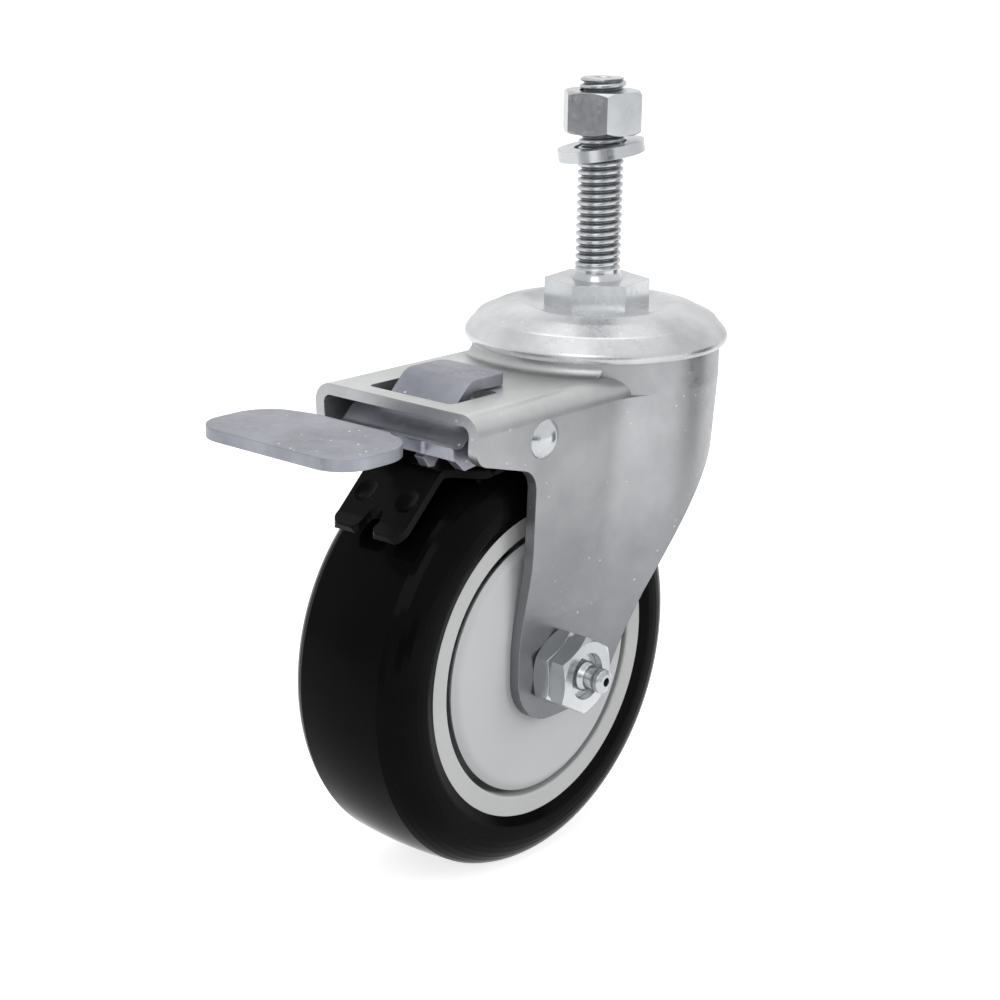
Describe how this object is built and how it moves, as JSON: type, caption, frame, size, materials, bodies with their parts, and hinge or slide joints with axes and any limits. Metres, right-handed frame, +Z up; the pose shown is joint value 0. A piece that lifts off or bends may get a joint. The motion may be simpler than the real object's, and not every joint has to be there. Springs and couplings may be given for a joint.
{
  "type": "threaded stem castor",
  "caption": "Swivel castor on a threaded stem, with a black tyre on a grey wheel, a pressed steel fork and a foot lever that brakes the wheel and the swivel.",
  "frame": {"origin": "on the swivel axis where the stem leaves the top face of its hex base", "axes": "+Z up the stem, the wheel trails toward -X, the axle runs along Y with its nuts and grease fitting toward -Y"},
  "size_m": [0.1228, 0.0589, 0.1586],
  "materials": {
    "zinc_steel": "bright zinc plate, satin",
    "race_steel": "satin",
    "ball_steel": "polished",
    "guard_grey": "satin",
    "core_grey": "satin",
    "tyre_black": "gloss",
    "black_metal": "gloss"
  },
  "bodies": {
    "stem": {"stem": "zinc_steel", "top_cap": "zinc_steel", "lower_race": "race_steel", "lock_ring": "race_steel"},
    "washer": {"lock_washer": "zinc_steel"},
    "nut": {"stem_nut": "zinc_steel"},
    "fork": {"fork": "zinc_steel", "upper_balls": "ball_steel", "lower_balls": "ball_steel", "axle_bolt": "zinc_steel", "axle_sleeve": "race_steel", "jam_nut": "zinc_steel", "axle_nut": "zinc_steel", "grease_fitting": "zinc_steel", "thread_guard_near": "guard_grey", "thread_guard_far": "guard_grey", "bearing_inner_near": "ball_steel", "bearing_inner_far": "ball_steel", "bearing_balls_near": "ball_steel", "bearing_balls_far": "ball_steel", "brake_rivet": "zinc_steel", "brake_spring": "ball_steel"},
    "wheel": {"wheel_core": "core_grey", "tyre": "tyre_black", "bearing_outer_near": "ball_steel", "bearing_outer_far": "ball_steel"},
    "lever": {"brake_lever": "zinc_steel", "lock_pawl": "race_steel"},
    "shoe": {"brake_shoe": "black_metal"}
  },
  "joints": [
    {"name": "nut_travel", "type": "slide", "parent": "stem", "child": "washer", "axis": [0, 0, 1], "range_m": [-0.0226, 0.0111]},
    {"name": "nut_turn", "type": "hinge", "parent": "washer", "child": "nut", "pos_m": [0, 0, 0.0345], "axis": [0, 0, 1], "range_deg": [-5100, 2480]},
    {"name": "swivel", "type": "hinge", "parent": "stem", "child": "fork", "pos_m": [0, 0, -0.0152], "axis": [0, 0, 1], "continuous": true},
    {"name": "wheel_roll", "type": "hinge", "parent": "fork", "child": "wheel", "pos_m": [-0.033, 0, -0.0728], "axis": [0, 1, 0], "continuous": true},
    {"name": "brake_press", "type": "hinge", "parent": "fork", "child": "lever", "pos_m": [-0.0416, 0, -0.0229], "axis": [0, -1, 0], "range_deg": [0, 10]},
    {"name": "shoe_press", "type": "hinge", "parent": "fork", "child": "shoe", "pos_m": [-0.0416, 0, -0.0229], "axis": [0, -1, 0], "range_deg": [0, 5.4]}
  ],
  "couplings": [
    {"joint": "nut_travel", "follows": "nut_turn", "m_per_rad": 0.00025266},
    {"joint": "shoe_press", "follows": "brake_press", "ratio": 0.54}
  ]
}
